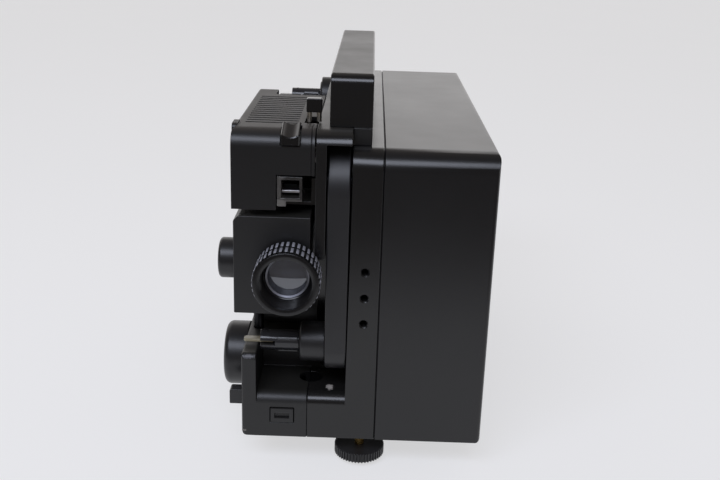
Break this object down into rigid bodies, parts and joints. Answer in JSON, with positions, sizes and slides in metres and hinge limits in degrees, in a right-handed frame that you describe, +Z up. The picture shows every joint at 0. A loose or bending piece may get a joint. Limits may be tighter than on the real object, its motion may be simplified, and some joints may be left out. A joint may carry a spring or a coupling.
{
  "type": "movie projector",
  "caption": "Portable narrow-gauge film projector with folding reel arms, a knurled zoom lens in a swing-out carrier, a vented cover, side knobs, a carry handle and a screw foot.",
  "frame": {"origin": "middle of the projector's box on the table", "axes": "+Z up, -Y the way the lens points, +X to the right seen from the lens end"},
  "size_m": [0.1606, 0.334, 0.24],
  "materials": {
    "black_shell": "satin black moulding",
    "black_chassis": "satin black moulding",
    "black_film_side": "fine textured black moulding",
    "arm_black": "matt dark moulding",
    "spindle_grey": "smooth dark grey moulding",
    "clip_cream": "pale smooth moulding",
    "knob_black": "smooth black moulding",
    "lens_black": "black anodised",
    "lens_glass": "coated lens glass",
    "steel": "ground steel",
    "lever_nickel": "nickel plated",
    "smoky_clear": "smoky clear moulding",
    "mirror": "bright reflector",
    "lamp_glass": "clear lamp glass",
    "ceramic": "unglazed ceramic",
    "shutter_black": "matt black paint",
    "fan_grey": "moulded fan",
    "motor_steel": "plated motor case",
    "core_iron": "varnished laminations",
    "copper_coil": "enamelled copper winding",
    "board_green": "printed circuit board",
    "board_black": "small board components",
    "inlet_black": "moulded socket",
    "brass": "plain brass",
    "foot_black": "moulded black",
    "foot_rubber": "black rubber"
  },
  "bodies": {
    "chassis": {"chassis_frame": "black_chassis", "rear_cover": "black_shell", "cover_screws": "steel", "film_frame": "black_film_side", "handle_spine": "black_film_side", "handle": "black_shell", "base_housing": "black_film_side", "slot_plate": "black_film_side", "lamp_house": "black_film_side", "lamp_reflector": "mirror", "lamp_bulb": "lamp_glass", "lamp_socket": "ceramic", "gate_plate": "steel", "film_channel": "black_film_side", "film_inlet": "smoky_clear", "inlet_strip": "steel", "lever_rail": "steel", "carrier_pin": "steel", "feed_pin": "steel", "takeup_pin": "steel", "motor_case": "motor_steel", "transformer_core": "core_iron", "transformer_coil": "copper_coil", "control_board": "board_green", "board_parts": "board_black", "mains_inlet": "inlet_black", "mains_pins": "brass", "rear_feet": "foot_black", "rear_pads": "foot_rubber"},
    "feed_arm": {"feed_arm": "arm_black", "feed_hub": "arm_black"},
    "feed_spindle": {"feed_spindle": "spindle_grey"},
    "feed_clip": {"feed_clip": "clip_cream"},
    "takeup_arm": {"takeup_arm": "arm_black", "takeup_hub": "arm_black"},
    "takeup_spindle": {"takeup_spindle": "spindle_grey"},
    "takeup_clip": {"takeup_clip": "clip_cream"},
    "lens_carrier": {"lens_carrier": "black_film_side", "pressure_plate": "steel"},
    "focus_knob": {"focus_knob": "knob_black"},
    "lens_barrel": {"lens_barrel": "lens_black", "lens_tube": "lens_black", "front_glass": "lens_glass", "rear_glass": "lens_glass"},
    "zoom_ring": {"zoom_ring": "lens_black"},
    "upper_cover": {"upper_cover": "black_film_side"},
    "cover_catch": {"cover_catch": "knob_black"},
    "lever": {"lever_stems": "lever_nickel", "lever_cap": "knob_black"},
    "selector_knob": {"selector_knob": "knob_black"},
    "side_button": {"side_button": "knob_black"},
    "foot_pad": {"foot_pad": "foot_rubber"},
    "foot_wheel": {"foot_wheel": "foot_black", "foot_stud": "brass"},
    "rotor": {"motor_shaft": "steel", "shutter_disc": "shutter_black", "cooling_fan": "fan_grey"}
  },
  "joints": [
    {"name": "feed_arm_fold", "type": "hinge", "parent": "chassis", "child": "feed_arm", "pos_m": [-0.0095, -0.133, 0.18], "axis": [-1, 0, 0], "range_deg": [0, 120]},
    {"name": "feed_spindle_spin", "type": "hinge", "parent": "feed_arm", "child": "feed_spindle", "pos_m": [-0.0312, -0.129, 0.0775], "axis": [1, 0, 0], "continuous": true},
    {"name": "feed_clip_flip", "type": "hinge", "parent": "feed_spindle", "child": "feed_clip", "pos_m": [-0.0506, -0.129, 0.0775], "axis": [0, 0, 1], "range_deg": [0, 90]},
    {"name": "takeup_arm_fold", "type": "hinge", "parent": "chassis", "child": "takeup_arm", "pos_m": [-0.0297, 0.145, 0.0935], "axis": [-1, 0, 0], "range_deg": [0, 75]},
    {"name": "takeup_spindle_spin", "type": "hinge", "parent": "takeup_arm", "child": "takeup_spindle", "pos_m": [-0.0359, 0.145, 0.1785], "axis": [1, 0, 0], "continuous": true},
    {"name": "takeup_clip_flip", "type": "hinge", "parent": "takeup_spindle", "child": "takeup_clip", "pos_m": [-0.0553, 0.145, 0.1785], "axis": [0, 0, 1], "range_deg": [0, 90]},
    {"name": "lens_carrier_swing", "type": "hinge", "parent": "chassis", "child": "lens_carrier", "pos_m": [-0.0592, -0.104, 0.128], "axis": [0, 0, -1], "range_deg": [0, 60]},
    {"name": "focus_turn", "type": "hinge", "parent": "lens_carrier", "child": "focus_knob", "pos_m": [-0.0691, -0.1245, 0.128], "axis": [1, 0, 0], "range_deg": [-30, 118]},
    {"name": "focus_slide", "type": "slide", "parent": "lens_carrier", "child": "lens_barrel", "axis": [0, -1, 0], "range_m": [-0.0015, 0.006]},
    {"name": "zoom_turn", "type": "hinge", "parent": "lens_barrel", "child": "zoom_ring", "pos_m": [-0.0371, -0.155, 0.128], "axis": [0, -1, 0], "range_deg": [0, 70]},
    {"name": "upper_cover_slide", "type": "slide", "parent": "chassis", "child": "upper_cover", "axis": [-1, 0, 0], "range_m": [0, 0.05]},
    {"name": "cover_catch_press", "type": "slide", "parent": "upper_cover", "child": "cover_catch", "axis": [0, 1, 0], "range_m": [0, 0.0025], "stiffness_N_per_m": 400},
    {"name": "lever_slide", "type": "slide", "parent": "chassis", "child": "lever", "axis": [0, 1, 0], "range_m": [0, 0.012]},
    {"name": "selector_turn", "type": "hinge", "parent": "chassis", "child": "selector_knob", "pos_m": [-0.0652, -0.099, 0.054], "axis": [1, 0, 0], "range_deg": [-60, 60]},
    {"name": "side_button_press", "type": "slide", "parent": "chassis", "child": "side_button", "axis": [1, 0, 0], "range_m": [0, 0.003], "stiffness_N_per_m": 400},
    {"name": "foot_slide", "type": "slide", "parent": "chassis", "child": "foot_pad", "axis": [0, 0, -1], "range_m": [-0.004, 0.008]},
    {"name": "foot_turn", "type": "hinge", "parent": "foot_pad", "child": "foot_wheel", "pos_m": [0.00675, -0.13, 0.01], "axis": [0, 0, 1], "range_deg": [-720, 1440]},
    {"name": "rotor_spin", "type": "hinge", "parent": "chassis", "child": "rotor", "pos_m": [-0.0037, -0.085, 0.12], "axis": [0, 1, 0], "continuous": true}
  ],
  "couplings": [
    {"joint": "focus_turn", "follows": "focus_slide", "rad_per_m": 333.33},
    {"joint": "foot_slide", "follows": "foot_turn", "m_per_rad": 0.000318}
  ]
}
